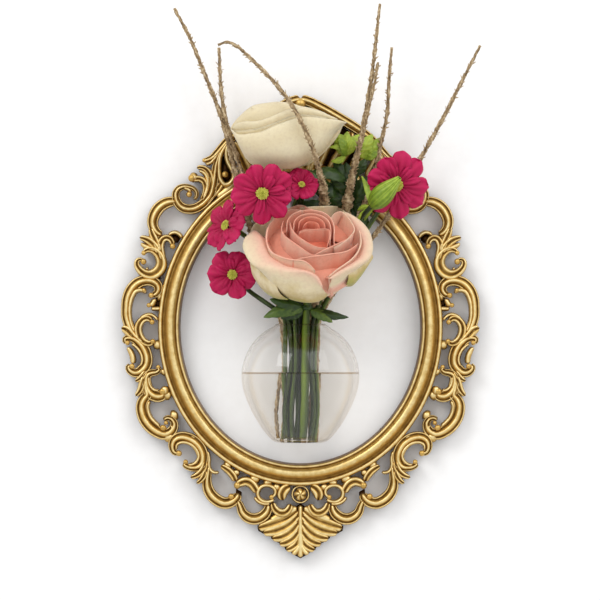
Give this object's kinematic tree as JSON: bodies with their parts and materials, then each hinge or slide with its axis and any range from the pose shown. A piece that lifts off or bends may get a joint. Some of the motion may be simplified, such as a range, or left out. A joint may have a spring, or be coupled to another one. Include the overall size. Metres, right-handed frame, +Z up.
{
  "type": "hanging wall vase",
  "caption": "Round glass bowl hung in the middle of a gilt oval frame with rococo scrollwork, on the wall, holding a bunch of roses, daisies and twigs",
  "frame": {"origin": "on the wall, where the wall hook carries the hanging ring's arch", "axes": "+X to the viewer's right, +Y into the wall, +Z up; the front faces -Y"},
  "size_m": [0.2946, 0.1028, 0.4406],
  "materials": {
    "gilt_wood": "antique gold leaf over carved wood, dark in the recesses",
    "hanger_steel": "plain zinc-plated steel",
    "sleeve_rubber": "matt",
    "clear_glass": "clear, smooth",
    "pink_petals": "soft petals, pink with a cream edge",
    "cream_petals": "soft cream petals",
    "magenta_petals": "soft magenta petals round a green centre",
    "green_stems": "fresh green stem",
    "light_leaves": "light green, soft",
    "dark_leaves": "dark green, slightly waxy",
    "dry_twigs": "dry brown bark"
  },
  "bodies": {
    "frame": {"oval_moulding": "gilt_wood", "crest_scroll": "gilt_wood", "scroll_upper_left": "gilt_wood", "scroll_upper_right": "gilt_wood", "scroll_side_left": "gilt_wood", "scroll_side_right": "gilt_wood", "scroll_lower_left": "gilt_wood", "scroll_lower_right": "gilt_wood", "scroll_foot_left": "gilt_wood", "scroll_foot_right": "gilt_wood", "pendant_leaf": "gilt_wood", "bud_cup": "gilt_wood", "centre_bud": "gilt_wood", "hanger_strap": "hanger_steel", "strap_screws": "hanger_steel", "peg_sleeve": "sleeve_rubber", "wall_bumpers": "sleeve_rubber"},
    "ring": {"hanging_ring": "hanger_steel"},
    "vase": {"glass_vase": "clear_glass"},
    "bouquet": {"pink_rose_bloom": "pink_petals", "pink_rose_stem": "green_stems", "cream_rose_bloom": "cream_petals", "cream_rose_stem": "green_stems", "daisy_front_bloom": "magenta_petals", "daisy_front_stem": "green_stems", "daisy_left_bloom": "magenta_petals", "daisy_left_stem": "green_stems", "daisy_low_bloom": "magenta_petals", "daisy_low_stem": "green_stems", "daisy_mid_bloom": "magenta_petals", "daisy_mid_stem": "green_stems", "daisy_right_bloom": "magenta_petals", "daisy_right_stem": "green_stems", "bud_head": "light_leaves", "bud_stem": "green_stems", "rose_leaves": "dark_leaves", "sprig_light": "light_leaves", "sprig_dark": "dark_leaves", "twig_left": "dry_twigs", "twig_bent": "dry_twigs", "twig_arched": "dry_twigs", "twig_tall": "dry_twigs", "twig_short": "dry_twigs", "twig_far": "dry_twigs"}
  },
  "joints": [
    {"name": "ring_swing", "type": "hinge", "parent": "frame", "child": "ring", "pos_m": [0, -0.002, -0.012], "axis": [-1, 0, 0], "range_deg": [0, 150]},
    {"name": "vase_unhook", "type": "slide", "parent": "frame", "child": "vase", "axis": [0, -0.9397, 0.342], "range_m": [0, 0.06]},
    {"name": "bouquet_lift", "type": "slide", "parent": "vase", "child": "bouquet", "axis": [0, 0, 1], "range_m": [0, 0.1]}
  ]
}
